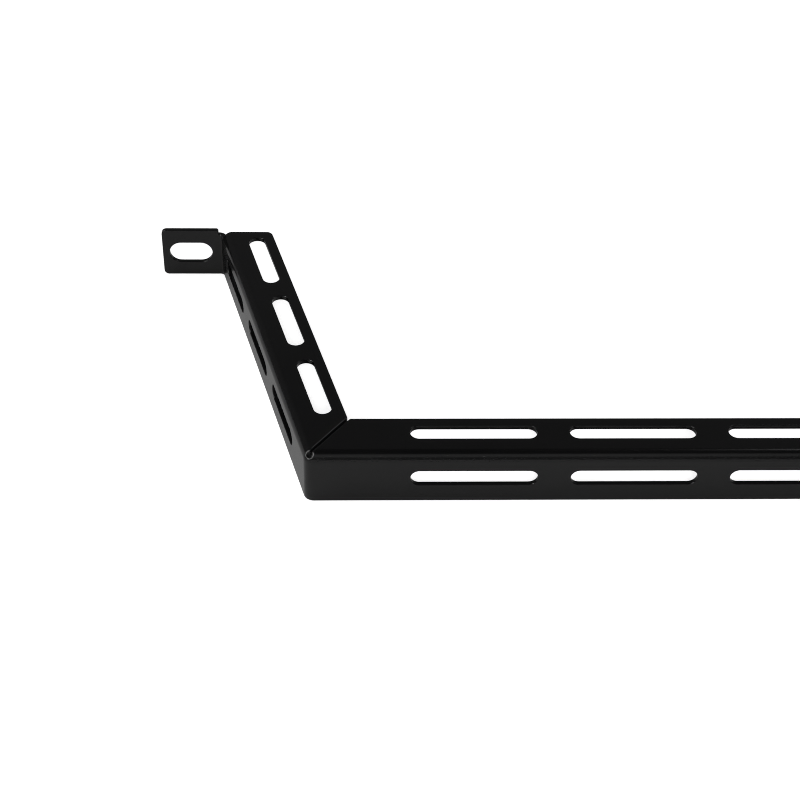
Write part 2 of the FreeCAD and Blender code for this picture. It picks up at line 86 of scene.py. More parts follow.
def folded(along, up, deep):
    """Folds the blank: in plan the skin runs straight, turns in at the corner and out again at the ear,
    and in section it stands, turns through a quarter circle and lies flat. A point that is deep in the
    sheet lies that far from the skin, square to it. The ear beyond the arm's end has no fold."""
    corner = np.clip(along - BAR_END, 0, ARM_START - BAR_END) / OUTER
    heading = corner - np.clip(along - ARM_END, 0, EAR_START - ARM_END) / BEND
    arm = np.clip(along - ARM_START, 0, ARM_END - ARM_START)
    beside = np.minimum(along, BAR_END) + OUTER * np.sin(corner) + arm * np.cos(TURN)
    beside = beside - BEND * (np.sin(heading) - np.sin(corner)) + np.maximum(along - EAR_START, 0)
    behind = OUTER * (1 - np.cos(corner)) + arm * np.sin(TURN) + BEND * (np.cos(heading) - np.cos(corner))
    folds = along < (FOLD_END + ARM_END) / 2
    fold = np.where(folds, np.clip(up - WEB_UP, 0, FOLD_UP - WEB_UP) / OUTER, 0)
    rise = np.where(folds, np.minimum(up, WEB_UP), up) + (OUTER - deep) * np.sin(fold)
    inset = np.where(folds, np.maximum(up - FOLD_UP, 0), 0) + OUTER + (deep - OUTER) * np.cos(fold)
    x = inset * np.sin(heading) - beside
    y = inset * np.cos(heading) + behind + FRONT
    return np.stack(np.broadcast_arrays(x, y, rise + BOTTOM), -1) * MM


# The coated edge in section, as three rows of points: a round from the outer skin, the middle of the
# punched wall, and a round to the inner skin. An offset of 0 is that wall, and a negative one lies in
# the sheet. The grids are all surfaces of half the rail.
COAT_EDGE = 0.25
ROUND_STEPS = 4
WALL_MIDDLE = 0.7
WALL_ROUND = 0.22
swing = np.linspace(0, np.pi / 2, ROUND_STEPS + 1)
edge_offset = COAT_EDGE * np.concatenate([np.sin(swing) - 1, 0 * swing, np.cos(swing) - 1])
edge_deep = np.concatenate([
    COAT_EDGE * (1 - np.cos(swing)),
    WALL_MIDDLE + WALL_ROUND * (1 - np.cos(swing)),
    SHEET - COAT_EDGE * (1 - np.sin(swing)),
])
grids = []


def run(start, end, steps):
    """A straight run between two points, or between two rows of points, as equal steps."""
    share = np.linspace(0, 1, steps + 1)
    start, end = np.broadcast_arrays(start, end)
    return start + (end - start) * share.reshape(-1, *[1] * start.ndim)


def point(along, up):
    """Points of the blank, one for each offset where either number is a row."""
    return np.stack(np.broadcast_arrays(along, up), -1).astype(float)


def level(columns, up):
    """A level line of the blank at the given columns, or one such line for each of a row of heights."""
    columns = np.asarray(columns).reshape(-1, *[1] * np.ndim(up))
    return point(columns, up)


def arc(middle, radius, first, last, steps):
    """An arc about a middle, between two angles in degrees, for one radius or a row of them."""
    angle = np.radians(np.linspace(first, last, steps + 1))
    angle = angle.reshape(-1, *[1] * np.ndim(radius))
    return np.asarray(middle) + np.stack([radius * np.cos(angle), radius * np.sin(angle)], -1)


def chain(*stretches):
    """Stretches that meet end to end, as one path without the doubled joints."""
    return np.concatenate([stretches[0], *(stretch[1:] for stretch in stretches[1:])])


def skin(flat, deep):
    """One skin of a grid of the blank: the outer one at no depth, the inner one a sheet's thickness in."""
    grids.append(folded(flat[..., 0], flat[..., 1], deep))


def skins(flat):
    """Both skins of a grid of the blank."""
    skin(flat, 0.0)
    skin(flat, SHEET)


def edge(path):
    """The coated edge along a path: the section above stands across every point of it."""
    grids.append(folded(path[..., 0], path[..., 1], edge_deep))


def filled(lower, upper, left, right):
    """A grid of the blank from its four sides: the lines between lower and upper side, plus the lines
    between left and right side, less the plane through the four corners."""
    across = np.linspace(0, 1, len(lower))[None, :, None]
    rising = np.linspace(0, 1, len(left))[:, None, None]
    between = lower * (1 - rising) + upper * rising
    sideways = left[:, None] * (1 - across) + right[:, None] * across
    corners = (lower[0] * (1 - across) + lower[-1] * across) * (1 - rising)
    corners = corners + (upper[0] * (1 - across) + upper[-1] * across) * rising
    return between + sideways - corners


def patch(lower, upper, left, right):
    """Both skins of a grid between four sides."""
    skins(filled(lower, upper, left, right))


# The lacing slots: long ones on the bar and short ones on the arms, level in flange and web. Each has a
# cell of the blank around it, divided along the slot's straights and round the quarters of its ends.
SLOT_WIDTH = 5.0
SLOT_INSET = 9.3
BAR_SLOT = 34.2
BAR_PITCH = 43.0
BAR_SLOTS = 4
ARM_SLOT = 23.4
ARM_PITCH = 30.3
ARM_SLOTS = 3
ARM_SLOT_RUN = 26.7
ARM_FIRST = ARM_CORNER + ARM_SLOT_RUN
ARM_CELL_MARGIN = 1.6
WEB_MIDDLE = WEB_HEIGHT / 2
FLANGE_MIDDLE = FOLD_UP + SLOT_INSET - OUTER
STRAIGHT_STEPS = 8
QUARTER_STEPS = 12
HALF_STEPS = QUARTER_STEPS // 2


def slot(middle, length, width, offset, tip_steps, root_steps):
    """A slot's closed edge at an offset: two straights and two half circles, which an offset into the
    sheet widens. Tip and root are its two ends."""
    half = (length - width) / 2
    radius = width / 2 - np.asarray(offset, float)
    along, up = middle
    top = run(point(along - half, up + radius), point(along + half, up + radius), STRAIGHT_STEPS)
    tip = arc((along + half, up), radius, 90, -90, tip_steps)
    lower = run(point(along + half, up - radius), point(along - half, up - radius), STRAIGHT_STEPS)
    root = arc((along - half, up), radius, 270, 90, root_steps)
    return chain(top, tip, lower, root)


def slotted(middle, length, width, around, tip_steps=2 * QUARTER_STEPS, root_steps=2 * QUARTER_STEPS):
    """A slot with the sheet around it: its coated edge, and skins of straight lines out to a path."""
    edge(slot(middle, length, width, edge_offset, tip_steps, root_steps))
    skins(run(slot(middle, length, width, -COAT_EDGE, tip_steps, root_steps), around, 1))


def cell(start, end, slot_middle, slot_length):
    """Where a cell is divided along its length: up to its slot's straights, along them, and on."""
    half = (slot_length - SLOT_WIDTH) / 2
    before = np.linspace(start, slot_middle - half, HALF_STEPS + 1)
    straight = np.linspace(slot_middle - half, slot_middle + half, STRAIGHT_STEPS + 1)
    after = np.linspace(slot_middle + half, end, HALF_STEPS + 1)
    return chain(before, straight, after)


def side(along, first, middle, last):
    """The upright side of a cell, with as many steps below the slot's middle as above it."""
    below = run(point(along, first), point(along, middle), HALF_STEPS)
    above = run(point(along, middle), point(along, last), HALF_STEPS)
    return chain(below, above)


def around_cell(lower, upper, left, right):
    """A cell's four sides as one closed path, which starts above the slot's straight as its edge does."""
    return chain(upper[HALF_STEPS:], right[::-1], lower[::-1], left, upper[:HALF_STEPS + 1])


bar_middles = BAR_PITCH * (np.arange(BAR_SLOTS) + 0.5)
arm_middles = ARM_FIRST + ARM_PITCH * np.arange(ARM_SLOTS)
bar_bounds = BAR_PITCH * np.arange(BAR_SLOTS + 1)
arm_bounds = [
    ARM_FIRST - ARM_SLOT / 2 - ARM_CELL_MARGIN,
    *(arm_middles[:-1] + ARM_PITCH / 2),
    FOLD_END - COAT_EDGE,
]
bar_cells = [cell(*ends, BAR_SLOT) for ends in zip(bar_bounds, bar_bounds[1:], bar_middles)]
arm_cells = [cell(*ends, ARM_SLOT) for ends in zip(arm_bounds, arm_bounds[1:], arm_middles)]

# The corner: a round relief hole where the bends meet, and the open seam from it to the flange's free
# edge. The bends draw both of them in, so they are widest outside and narrow through the sheet.
SEAM_HALF = 0.42
SEAM_HALF_INSIDE = 0.15
SEAM_TIP = 0.6
RELIEF = 1.25
RIM_ROUND = 0.3
RELIEF_TILT = np.radians(47)
SEAM_END = 0.36
SEAM_END_TILT = np.radians(58)
SEAM_END_INSIDE = 0.22
INSIDE_TILT = np.radians(80)
seam_half = SEAM_HALF + (SEAM_HALF_INSIDE - SEAM_HALF) * edge_deep / SHEET
hole_radius = np.repeat([RELIEF, SEAM_END, SEAM_END_INSIDE], ROUND_STEPS + 1)
hole_radius = hole_radius + np.concatenate(
    [-RIM_ROUND * np.sin(swing), WALL_ROUND * (1 - np.sin(swing)), 0 * swing])
hole_tilt = np.repeat([RELIEF_TILT, SEAM_END_TILT, INSIDE_TILT], ROUND_STEPS + 1)

# How the sheet around the corner is divided: over its bend and fold, beside them, and round the hole
CORNER_MARGIN = 2.4
CORNER_DROP = 1.8
CORNER_FOOT = WEB_UP - CORNER_DROP
CORNER_MIDDLE = (BAR_END + ARM_START) / 2
CORNER_ARC_STEPS = 3
FOLD_STEPS = 16
BEND_STEPS = 16
SEAM_STEPS = 4
MARGIN_STEPS = 6
FOOT_STEPS = 4
BAR_END_STEPS = 8
ARM_START_STEPS = 5
corner_columns = chain(
    np.linspace(BAR_END - CORNER_MARGIN, BAR_END, MARGIN_STEPS + 1),
    np.linspace(BAR_END, ARM_START, BEND_STEPS + 1),
    np.linspace(ARM_START, ARM_START + CORNER_MARGIN, MARGIN_STEPS + 1),
)
HOLE_STEPS = 2 * (FOLD_STEPS + FOOT_STEPS - SEAM_STEPS) + len(corner_columns) - 1


def from_seam(up, offset, half_gap):
    """How far from the corner's middle, along the skin, the seam's edge is at a height of the blank. In
    plan the edge is parallel to the mitre. Over the fold it first crosses the straight part, then the
    round one, whose skin is a ball: there the distance is the angle at which that ball's circle is half
    a gap wide."""
    wide = half_gap - np.asarray(offset, float)
    fold = np.clip((up - WEB_UP) / OUTER, 0, np.pi / 2)
    circle = OUTER * np.cos(fold)
    inset = np.maximum(up - FOLD_UP, 0)
    past_bend = (wide + inset * np.sin(HALF_TURN) - circle * np.sin(HALF_TURN)) / np.cos(HALF_TURN)
    round_part = OUTER * np.arcsin(np.minimum(wide / np.maximum(circle, wide), 1))
    return np.where(circle * np.sin(HALF_TURN) > wide, round_part, OUTER * HALF_TURN + past_bend)


def hole_path(offset, half_gap, bare_radius, tilt):
    """The relief hole's edge on the corner's ball, from one side of the seam round to the other. It is a
    circle about a line tilted up from the ball's middle, read as angles of the ball. The bends draw the
    hole in, so inside the sheet the circle is small and high, and only rounds off the seam."""
    offset = np.asarray(offset, float)
    radius = bare_radius - offset
    opening = np.arcsin((half_gap - offset) / radius)
    share = np.linspace(0, 1, HOLE_STEPS + 1).reshape(-1, *[1] * np.ndim(offset))
    round_hole = opening + (2 * np.pi - 2 * opening) * share
    beside = radius * np.sin(round_hole)
    above = radius * np.cos(round_hole)
    out = np.sqrt(OUTER**2 - radius**2)
    forward = out * np.cos(tilt) - above * np.sin(tilt)
    height = out * np.sin(tilt) + above * np.cos(tilt)
    along = CORNER_MIDDLE - OUTER * np.arctan2(beside, forward)
    return point(along, WEB_UP + OUTER * np.arctan2(height, np.hypot(beside, forward)))


def seam_path(offset, half_gap, radius, tilt):
    """The edge round the whole seam at an offset: in along the bar's side, round the hole, and out along
    the arm's side."""
    hole = hole_path(offset, half_gap, radius, tilt)
    ups = run(FOLD_UP, hole[0, ..., 1], SEAM_STEPS)
    bar_side = point(CORNER_MIDDLE - from_seam(ups, offset, half_gap), ups)
    arm_side = point(CORNER_MIDDLE + from_seam(ups, offset, half_gap), ups)[::-1]
    bar_side[-1] = hole[0]
    arm_side[0] = hole[-1]
    return chain(bar_side, hole, arm_side)


def seam_tip(sign, offset, half_gap):
    """The seam's edge in the flange, up to its rounded corner's middle, and the rest of that corner. The
    sign is -1 on the bar and 1 on the arm. The round's middle is as far inside the seam's edge as inside
    the free edge, and the offset widens the round."""
    offset = np.asarray(offset, float)
    middle_up = FLANGE_UP - SEAM_TIP
    middle_along = CORNER_MIDDLE + sign * from_seam(middle_up, -SEAM_TIP, half_gap)
    first = np.degrees(HALF_TURN)
    turns = (first, 90) if sign < 0 else (180 - first, 90)
    corner = arc(point(middle_along, middle_up), SEAM_TIP + offset, *turns, 2 * CORNER_ARC_STEPS)
    ups = run(FOLD_UP, corner[0, ..., 1], QUARTER_STEPS - CORNER_ARC_STEPS)
    rising = point(CORNER_MIDDLE + sign * from_seam(ups, offset, half_gap), ups)
    rising[-1] = corner[0]
    return chain(rising, corner[:CORNER_ARC_STEPS + 1]), corner[CORNER_ARC_STEPS:]


# The ear: its outer corners and the step down to its bend are rounded, and it has one slot for a screw
EAR_CORNER = 1.5
EAR_STEP = 0.6
EAR_SLOT = 13.2
EAR_SLOT_WIDTH = 7.2
EAR_SLOT_INSET = 8.75
EAR_MIDDLE = EAR_TIP - EAR_SLOT_INSET
EAR_HALF = (EAR_SLOT - EAR_SLOT_WIDTH) / 2
EAR_BEND_STEPS = 10
EAR_RISE_STEPS = 3
STEP_STEPS = 4
FLANGE_CORNER = 2.0


def ear_path(offset):
    """The edge round the ear at an offset, from under its slot round the tip and over the top to its bend.
    Returns the stretches up to each place where the divisions of the sheet around its slot meet."""
    offset = np.asarray(offset, float)
    tip, top = EAR_TIP + offset, EAR_UP + offset
    straight_steps = HALF_STEPS - CORNER_ARC_STEPS
    arc_steps = 2 * CORNER_ARC_STEPS
    round_along = EAR_TIP - EAR_CORNER
    low_corner = arc((round_along, EAR_CORNER), EAR_CORNER + offset, -90, 0, arc_steps)
    high_corner = arc((round_along, EAR_UP - EAR_CORNER), EAR_CORNER + offset, 0, 90, arc_steps)
    step = arc((EAR_START + EAR_STEP, EAR_UP - EAR_STEP), EAR_STEP + offset, 90, 180, STEP_STEPS)
    below = run(point(EAR_MIDDLE + EAR_HALF, -offset), low_corner[0], straight_steps)
    up_tip = chain(
        run(low_corner[-1], point(tip, WEB_MIDDLE), straight_steps),
        run(point(tip, WEB_MIDDLE), high_corner[0], straight_steps),
    )
    over = run(high_corner[-1], point(EAR_MIDDLE + EAR_HALF, top), straight_steps)
    slot_side = run(point(EAR_MIDDLE + EAR_HALF, top), point(EAR_MIDDLE - EAR_HALF, top), STRAIGHT_STEPS)
    to_step = run(point(EAR_MIDDLE - EAR_HALF, top), step[0], HALF_STEPS)
    down = run(step[-1], point(EAR_START - offset, EAR_BEND_UP + offset), 1)
    return chain(below, low_corner, up_tip, high_corner, over), slot_side, to_step, chain(step, down)


def arm_end_path(offset):
    """The edge from the ear's bend down into the notch beside the fold, up the fold's end and along the
    flange's end to its rounded corner. Returns the notch, the fold's end, the flange's end up to the
    round's middle, and the rest of the round."""
    offset = np.asarray(offset, float)
    bend_top = point(ARM_END - offset, EAR_BEND_UP + offset)
    over = run(point(EAR_START - offset, EAR_BEND_UP + offset), bend_top, EAR_BEND_STEPS)
    notch_ear = point(ARM_END - offset, WEB_UP + offset)
    notch_arm = point(FOLD_END + offset, WEB_UP + offset)
    notch = chain(over, run(bend_top, notch_ear, EAR_RISE_STEPS), run(notch_ear, notch_arm, 1))
    fold_top = point(FOLD_END + offset / np.cos(SPLAY), FOLD_UP)
    fold_end = run(notch_arm, fold_top, FOLD_STEPS)
    middle_up = FLANGE_UP - FLANGE_CORNER
    middle_along = FOLD_END - FLANGE_CORNER / np.cos(SPLAY) - (middle_up - FOLD_UP) * np.tan(SPLAY)
    first = np.degrees(SPLAY)
    corner = arc((middle_along, middle_up), FLANGE_CORNER + offset, first, 90, 2 * CORNER_ARC_STEPS)
    flange_end = run(fold_top, corner[0], QUARTER_STEPS - CORNER_ARC_STEPS)
    return notch, fold_end, chain(flange_end, corner[:CORNER_ARC_STEPS + 1]), corner[CORNER_ARC_STEPS:]


# Where the lower edge and the free edges are divided, so that all neighbours share their points
bar_end_columns = np.linspace(bar_cells[-1][-1], corner_columns[0], BAR_END_STEPS + 1)
arm_start_columns = np.linspace(corner_columns[-1], arm_cells[0][0], ARM_START_STEPS + 1)
ear_bend_columns = np.linspace(ARM_END + COAT_EDGE, EAR_START, EAR_BEND_STEPS + 1)
ear_columns = chain(
    np.linspace(EAR_START, EAR_MIDDLE - EAR_HALF, HALF_STEPS + 1),
    np.linspace(EAR_MIDDLE - EAR_HALF, EAR_MIDDLE + EAR_HALF, STRAIGHT_STEPS + 1),
)
notch_columns = np.array([arm_cells[-1][-1], ear_bend_columns[0]])
foot_columns = chain(
    *bar_cells, bar_end_columns, corner_columns, arm_start_columns, *arm_cells,
    notch_columns, ear_bend_columns, ear_columns,
)
BAR_SEAM_STEPS = BAR_END_STEPS + MARGIN_STEPS
ARM_SEAM_STEPS = ARM_START_STEPS + MARGIN_STEPS


def free_edges(offset, half_gap):
    """The free edges of both flanges at an offset: of the arm from its rounded end to the seam, and of the
    bar from the seam to its middle, each divided as the cells below it are."""
    offset = np.asarray(offset, float)
    up = FLANGE_UP + offset
    arm_round = arm_end_path(offset)[3]
    last_half = arm_middles[-1] + (ARM_SLOT - SLOT_WIDTH) / 2
    arm_last = run(arm_round[-1], point(last_half, up), HALF_STEPS - CORNER_ARC_STEPS)
    arm_columns = chain(*arm_cells)[::-1][HALF_STEPS:]
    arm_tip = seam_tip(1, offset, half_gap)[1]
    bar_tip = seam_tip(-1, offset, half_gap)[1]
    arm_rest = run(point(arm_cells[0][0], up), arm_tip[-1], ARM_SEAM_STEPS - CORNER_ARC_STEPS)
    bar_rest = run(bar_tip[-1], point(bar_cells[-1][-1], up), BAR_SEAM_STEPS - CORNER_ARC_STEPS)
    bar_columns = chain(*bar_cells)[::-1]
    arm = chain(arm_round, arm_last, level(arm_columns, up), arm_rest, arm_tip[::-1])
    bar = chain(bar_tip, bar_rest, level(bar_columns, up))
    return arm, bar


def blank_edge(offset):
    """The edge round half of the blank at an offset: under the web, round the ear, down the notch, along
    the arm's flange, round the seam, and along the bar's flange."""
    lower = level(foot_columns, -np.asarray(offset, float))
    notch, fold_end, flange_end, _ = arm_end_path(offset)
    arm, bar = free_edges(offset, seam_half)
    arm_seam = seam_tip(1, offset, seam_half)[0][::-1]
    bar_seam = seam_tip(-1, offset, seam_half)[0]
    seam = seam_path(offset, seam_half, hole_radius, hole_tilt)[::-1]
    return chain(lower, *ear_path(offset), notch, fold_end, flange_end, arm, arm_seam, seam, bar_seam, bar)


edge(blank_edge(edge_offset))

# The sheet inside that edge, cell by cell. The arm's last cell ends at the notch and the flange's round.
inside = -COAT_EDGE
lower_up = COAT_EDGE
upper_up = FLANGE_UP - COAT_EDGE
notch, fold_end, flange_end, _ = arm_end_path(inside)
arm_free, _ = free_edges(inside, SEAM_HALF)


def web_side(along, top=WEB_UP):
    """The side of a cell of the web, from its lower edge to the fold or to another top."""
    return side(along, lower_up, WEB_MIDDLE, top)


def fold_side(along):
    """A line across the fold, in equal steps."""
    return run(point(along, WEB_UP), point(along, FOLD_UP), FOLD_STEPS)


def flange_side(along):
    """The side of a cell of the flange, from the fold to the free edge."""
    return side(along, FOLD_UP, FLANGE_MIDDLE, upper_up)


for cells, middles, length in ((bar_cells, bar_middles, BAR_SLOT), (arm_cells, arm_middles, ARM_SLOT)):
    for columns, middle in zip(cells, middles):
        left, right = columns[0], columns[-1]
        web_top, fold_top, flange_top = (level(columns, up) for up in (WEB_UP, FOLD_UP, upper_up))
        web_right, fold_right, flange_right = web_side(right), fold_side(right), flange_side(right)
        if columns is arm_cells[-1]:
            web_top[-1] = notch[-1]
            fold_top[-1] = fold_end[-1]
            flange_top = chain(flange_top[:-HALF_STEPS], arm_free[:HALF_STEPS + 1][::-1])
            web_right, fold_right, flange_right = web_side(right, notch[-1, 1]), fold_end, flange_end
        web_sides = (level(columns, lower_up), web_top, web_side(left), web_right)
        flange_sides = (fold_top, flange_top, flange_side(left), flange_right)
        slotted((middle, WEB_MIDDLE), length, SLOT_WIDTH, around_cell(*web_sides))
        patch(web_top, fold_top, fold_side(left), fold_right)
        slotted((middle, FLANGE_MIDDLE), length, SLOT_WIDTH, around_cell(*flange_sides))

# The sheet beside each corner, and the corner itself between its foot, its two sides and the seam
CORNER_ROWS = QUARTER_STEPS - FOOT_STEPS


def corner_side(along):
    """The web's side at the corner: equal steps up to the corner's foot, and equal ones on to the fold."""
    return chain(
        run(point(along, lower_up), point(along, CORNER_FOOT), CORNER_ROWS),
        run(point(along, CORNER_FOOT), point(along, WEB_UP), FOOT_STEPS),
    )


for columns in (bar_end_columns, arm_start_columns[::-1]):
    far, near = columns[0], columns[-1]
    patch(level(columns, lower_up), level(columns, WEB_UP), web_side(far), corner_side(near))
    patch(level(columns, WEB_UP), level(columns, FOLD_UP), fold_side(far), fold_side(near))

bar_web, arm_web = corner_side(corner_columns[0]), corner_side(corner_columns[-1])
bar_fold, arm_fold = fold_side(corner_columns[0]), fold_side(corner_columns[-1])
foot_line = level(corner_columns, CORNER_FOOT)
patch(level(corner_columns, lower_up), foot_line, bar_web[:CORNER_ROWS + 1], arm_web[:CORNER_ROWS + 1])
corner_outside = chain(
    bar_fold[::-1], bar_web[CORNER_ROWS:][::-1], foot_line, arm_web[CORNER_ROWS:], arm_fold,
)
for deep, half_gap, radius, tilt in (
    (0.0, SEAM_HALF, RELIEF, RELIEF_TILT),
    (SHEET, SEAM_HALF_INSIDE, SEAM_END_INSIDE, INSIDE_TILT),
):
    seam = seam_path(inside, half_gap, radius, tilt)
    skin(run(seam, corner_outside, MARGIN_STEPS), deep)
    arm_free, bar_free = free_edges(inside, half_gap)
    for sign, columns, free, seam_end in (
        (-1, bar_end_columns, bar_free[:BAR_SEAM_STEPS + 1][::-1], seam[0]),
        (1, arm_start_columns[::-1], arm_free[-ARM_SEAM_STEPS - 1:], seam[-1]),
    ):
        lower = chain(level(columns, FOLD_UP), run(point(columns[-1], FOLD_UP), seam_end, MARGIN_STEPS))
        skin(filled(lower, free, flange_side(columns[0]), seam_tip(sign, inside, half_gap)[0]), deep)

# The sheet under the notch, the ear's bend, and the ear round its slot
notch_left = web_side(notch_columns[0], notch[-1, 1])
notch_right = web_side(notch_columns[1], notch[-2, 1])
patch(level(notch_columns, lower_up), notch[-2:][::-1], notch_left, notch_right)
bend_left = chain(notch_right, notch[EAR_BEND_STEPS:-1][::-1])
bend_right = chain(web_side(EAR_START), run(point(EAR_START, WEB_UP), notch[0], EAR_RISE_STEPS))
patch(level(ear_bend_columns, lower_up), notch[:EAR_BEND_STEPS + 1][::-1], bend_left, bend_right)
tip_path, ear_top, to_step, step_path = ear_path(inside)
ear_around = chain(
    ear_top[::-1], tip_path[::-1], level(ear_columns, lower_up)[::-1],
    bend_right, step_path[::-1], to_step[::-1],
)
tip_steps = len(tip_path) - 1
root_steps = HALF_STEPS + len(bend_right) - 1 + len(step_path) - 1 + HALF_STEPS
slotted((EAR_MIDDLE, WEB_MIDDLE), EAR_SLOT, EAR_SLOT_WIDTH, ear_around, tip_steps, root_steps)

# The finished mesh, smooth over its rounds and flat on its faces, in place of the CAD solid
SAME_POINT = 0.002
FLAT_WEIGHT = 100


def sewn(surfaces):
    """All surfaces and their mirror images as one closed mesh, with the points that neighbours share merged
    and all faces turned outwards."""
    corners = np.concatenate([grid.reshape(-1, 3) for grid in surfaces])
    quads = []
    first = 0
    for rows, columns, _ in (grid.shape for grid in surfaces):
        index = first + np.arange(rows * columns).reshape(rows, columns)
        quad = np.stack([index[:-1, :-1], index[1:, :-1], index[1:, 1:], index[:-1, 1:]], -1)
        quads.append(quad.reshape(-1, 4))
        first += rows * columns
    quads = np.concatenate(quads)
    corners = np.concatenate([corners, corners * (-1, 1, 1)])
    quads = np.concatenate([quads, quads[:, ::-1] + first])
    mesh = bpy.data.meshes.new("coated_rail")
    mesh.from_pydata(corners.tolist(), [], quads.tolist())
    work = bmesh.new()
    work.from_mesh(mesh)
    bmesh.ops.remove_doubles(work, verts=work.verts, dist=SAME_POINT * MM)
    bmesh.ops.recalc_face_normals(work, faces=work.faces)
    work.to_mesh(mesh)
    work.free()
    mesh.polygons.foreach_set("use_smooth", np.ones(len(mesh.polygons), bool))
    return mesh


rail = bpy.data.objects.new("coated_rail", sewn(grids))
bpy.context.scene.collection.objects.link(rail)
flat_faces = rail.modifiers.new("flat_faces", "WEIGHTED_NORMAL")
flat_faces.mode = "FACE_AREA"
flat_faces.weight = FLAT_WEIGHT
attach(rail, "root")
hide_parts(NODE)

# The rail's coat is baked polyester powder: satin black, with the faint unevenness that powder keeps when
# it melts. Its black and its gloss vary a little from place to place. A noise is given by how many of
# its waves go to a metre, and by how many finer ones are laid over them.
COAT_BLACKS = ((0.0029, 0.0029, 0.0031, 1), (0.0039, 0.0039, 0.0041, 1))
BLACK_NOISE = (45, 3)
BLACK_RANGE = (0.35, 0.65)
COAT_IOR = 1.5
GLOSS_NOISE = (60, 3)
GLOSS_RANGE = (0.19, 0.23)
PEEL_NOISE = (700, 1)
PEEL_HEIGHT = 0.009
coat = bpy.data.materials.new("powder_coat")
coat.use_nodes = True
nodes = coat.node_tree.nodes
links = coat.node_tree.links
shader = nodes["Principled BSDF"]
shader.inputs["IOR"].default_value = COAT_IOR
places = nodes.new("ShaderNodeTexCoord").outputs["Object"]


def noise(scale, detail):
    """Smooth random values over the object, so many to the metre, with finer ones laid over them."""
    node = nodes.new("ShaderNodeTexNoise")
    node.inputs["Scale"].default_value = scale
    node.inputs["Detail"].default_value = detail
    links.new(places, node.inputs["Vector"])
    return node.outputs["Fac"]


def eased(value, first, last, start, end):
    """A value carried from one range to another: start up to the first place, end from the last one on."""
    node = nodes.new("ShaderNodeMapRange")
    for name, number in (("From Min", first), ("From Max", last), ("To Min", start), ("To Max", end)):
        node.inputs[name].default_value = number
    links.new(value, node.inputs["Value"])
    return node.outputs["Result"]


def times(one, other):
    """The product of two values."""
    node = nodes.new("ShaderNodeMath")
    node.operation = "MULTIPLY"
    links.new(one, node.inputs[0])
    links.new(other, node.inputs[1])
    return node.outputs["Value"]


links.new(eased(noise(*GLOSS_NOISE), 0, 1, *GLOSS_RANGE), shader.inputs["Roughness"])
blacks = nodes.new("ShaderNodeValToRGB")
for stop, share, black in zip(blacks.color_ramp.elements, BLACK_RANGE, COAT_BLACKS):
    stop.position = share
    stop.color = black
links.new(noise(*BLACK_NOISE), blacks.inputs["Fac"])
links.new(blacks.outputs["Color"], shader.inputs["Base Color"])

# The press tool's marks: small dents along the foot of the bar's fold, which fade out over a short way
MARK_NOISE = (1900, 2)
MARK_RANGE = (0.55, 0.68)
MARK_DEPTH = -4.0
FOLD_FOOT = BOTTOM + WEB_UP
MARK_LOWER = FOLD_FOOT + np.array([0.3, 0.6])
MARK_UPPER = FOLD_FOOT + np.array([1.6, 2.0])
MARK_BACK = FRONT + np.array([0.9, 1.3])
place = nodes.new("ShaderNodeSeparateXYZ")
links.new(places, place.inputs["Vector"])
above_web = eased(place.outputs["Z"], *(MARK_LOWER * MM), 0, 1)
below_top = eased(place.outputs["Z"], *(MARK_UPPER * MM), 1, 0)
on_bar = eased(place.outputs["Y"], *(MARK_BACK * MM), 1, 0)
dents = eased(noise(*MARK_NOISE), *MARK_RANGE, 0, 1)
marks = nodes.new("ShaderNodeMath")
marks.operation = "MULTIPLY_ADD"
links.new(times(times(above_web, below_top), times(on_bar, dents)), marks.inputs[0])
marks.inputs[1].default_value = MARK_DEPTH
links.new(noise(*PEEL_NOISE), marks.inputs[2])
peel = nodes.new("ShaderNodeBump")
peel.inputs["Strength"].default_value = 1
peel.inputs["Distance"].default_value = PEEL_HEIGHT * MM
links.new(marks.outputs["Value"], peel.inputs["Height"])
links.new(peel.outputs["Normal"], shader.inputs["Normal"])
rail.data.materials.append(coat)

# The floor is a pale matt studio sheet that the rail lies on, in metres. The picture is exposed for a
# black object, so the sheet glows for the camera, which leaves its shadows faint, and far off it is
# white. From below it is clear.
FLOOR_REACH = 6
FLOOR_PALE = (0.62, 0.62, 0.62, 1)
FLOOR_GLOW = 0.78
FLOOR_WHITE = 1.0
GLOW_NEAR = 0.35
GLOW_FAR = 1.1
corners = np.array([(-1, -1, 0), (1, -1, 0), (1, 1, 0), (-1, 1, 0)]) * FLOOR_REACH
corners = corners + (0, 0, BOTTOM * MM)
floor = bpy.data.objects.new("studio_floor", bpy.data.meshes.new("studio_floor"))
floor.data.from_pydata(corners.tolist(), [], [(0, 1, 2, 3)])
bpy.context.scene.collection.objects.link(floor)
pale_sheet = bpy.data.materials.new("studio_sheet")
pale_sheet.use_nodes = True
nodes = pale_sheet.node_tree.nodes
links = pale_sheet.node_tree.links
matt = nodes.new("ShaderNodeBsdfDiffuse")
matt.inputs["Color"].default_value = FLOOR_PALE
glow = nodes.new("ShaderNodeEmission")
links.new(nodes.new("ShaderNodeLightPath").outputs["Is Camera Ray"], glow.inputs["Strength"])
distance = nodes.new("ShaderNodeVectorMath")
distance.operation = "LENGTH"
links.new(nodes.new("ShaderNodeTexCoord").outputs["Object"], distance.inputs[0])
whiter = eased(distance.outputs["Value"], GLOW_NEAR, GLOW_FAR, FLOOR_GLOW, FLOOR_WHITE)
whiter.node.interpolation_type = "SMOOTHSTEP"
links.new(whiter, glow.inputs["Color"])
lit = nodes.new("ShaderNodeAddShader")
links.new(matt.outputs["BSDF"], lit.inputs[0])
links.new(glow.outputs["Emission"], lit.inputs[1])
sided = nodes.new("ShaderNodeMixShader")
links.new(nodes.new("ShaderNodeNewGeometry").outputs["Backfacing"], sided.inputs["Fac"])
links.new(lit.outputs["Shader"], sided.inputs[1])
